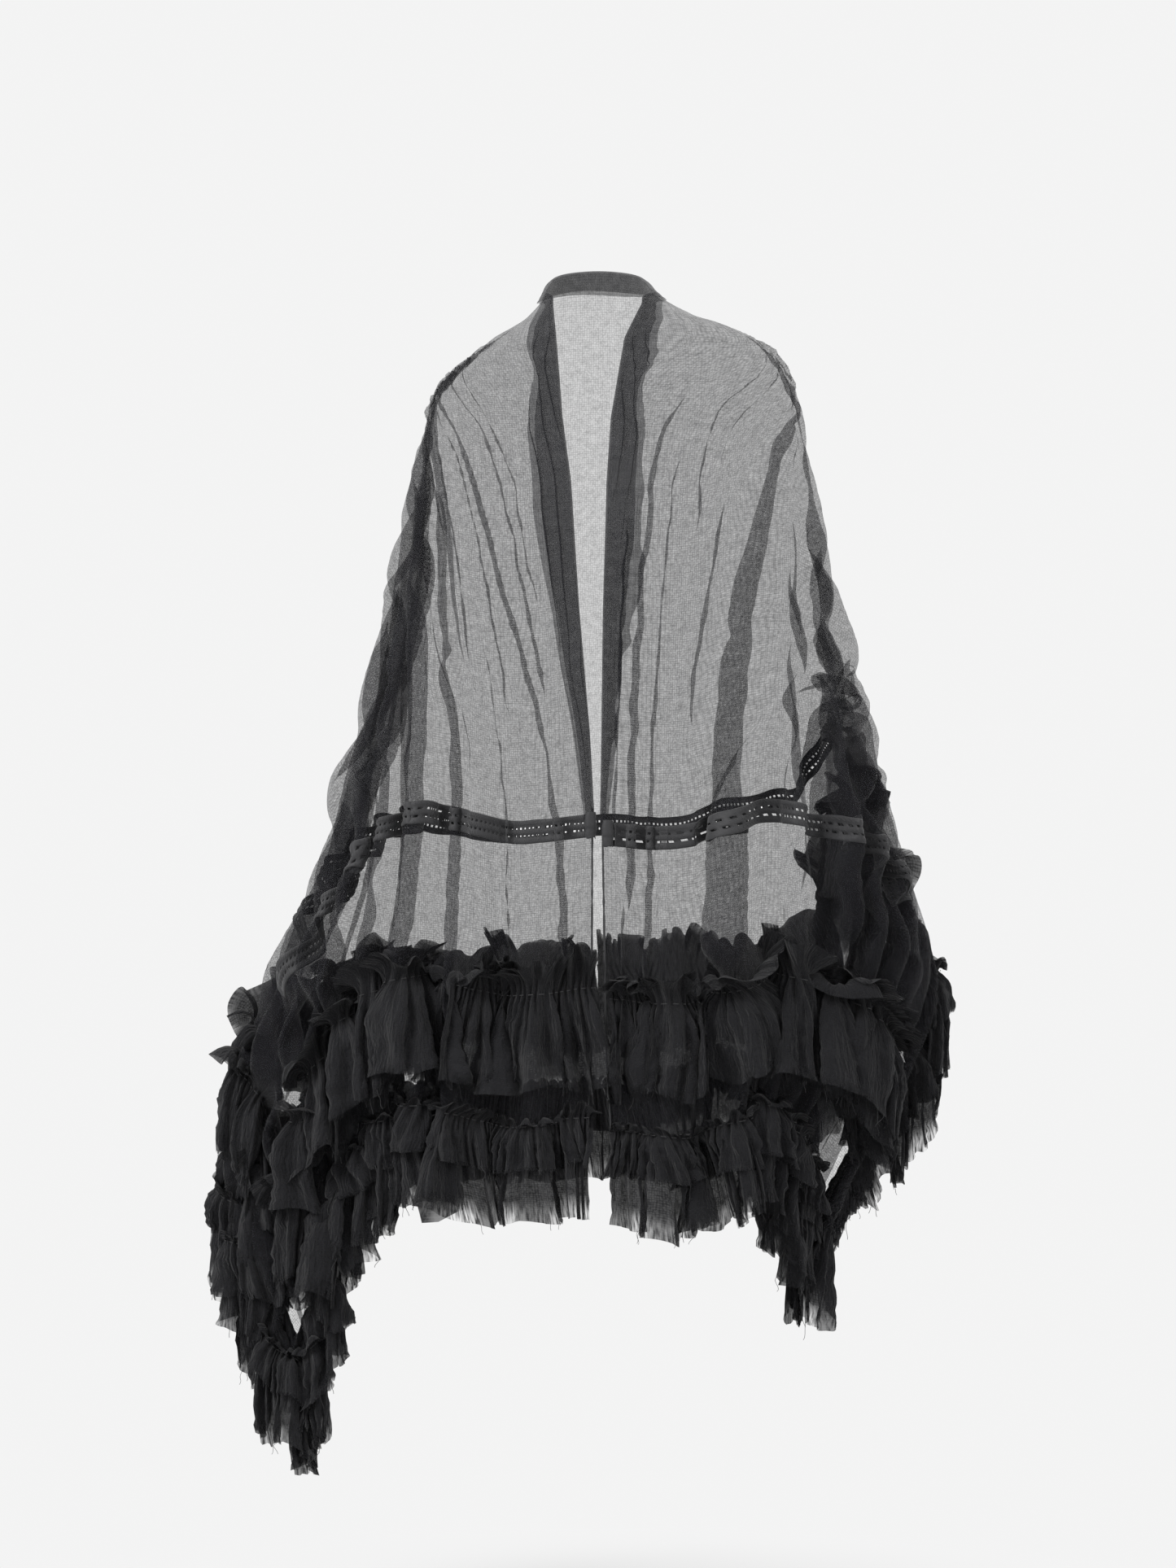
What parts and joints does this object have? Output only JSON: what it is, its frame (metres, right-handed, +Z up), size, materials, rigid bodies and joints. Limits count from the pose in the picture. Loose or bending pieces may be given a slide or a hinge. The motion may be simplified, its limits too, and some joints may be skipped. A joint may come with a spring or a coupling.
{
  "type": "ruffled net wrap",
  "caption": "Sheer net wrap worn over the shoulders, with a doubled neck fold, an openwork lace band, two tiers of gathered ruffles and a hanging point at each side.",
  "frame": {"origin": "middle of the neck opening, where the wrap rests on the wearer's neck and shoulders", "axes": "+Z up along the hanging cloth, -Y towards the wearer's front, +X towards the wearer's left"},
  "size_m": [0.8873, 0.4261, 1.4007],
  "materials": {
    "net": "fine black cotton net, one layer, sheer",
    "neck_fold": "black net folded over on itself, nearly opaque",
    "lace": "black cotton insertion lace with two rows of small holes",
    "ruffle": "black cotton tulle, closely gathered, raw edged"
  },
  "bodies": {
    "root": {"nape_fold": "neck_fold", "left_front_fold": "neck_fold", "right_front_fold": "neck_fold", "left_front_net": "net", "left_back_net": "net", "right_back_net": "net", "right_front_net": "net", "left_end_lace": "lace", "left_end_border": "net", "left_end_upper_ruffle": "ruffle", "left_end_frill": "ruffle", "left_end_lower_ruffle": "ruffle", "left_back_lace": "lace", "left_back_border": "net", "left_back_upper_ruffle": "ruffle", "left_back_frill": "ruffle", "left_back_lower_ruffle": "ruffle", "right_back_lace": "lace", "right_back_border": "net", "right_back_upper_ruffle": "ruffle", "right_back_frill": "ruffle", "right_back_lower_ruffle": "ruffle", "right_end_lace": "lace", "right_end_border": "net", "right_end_upper_ruffle": "ruffle", "right_end_frill": "ruffle", "right_end_lower_ruffle": "ruffle", "left_band_end": "lace", "right_band_end": "lace"}
  },
  "joints": []
}
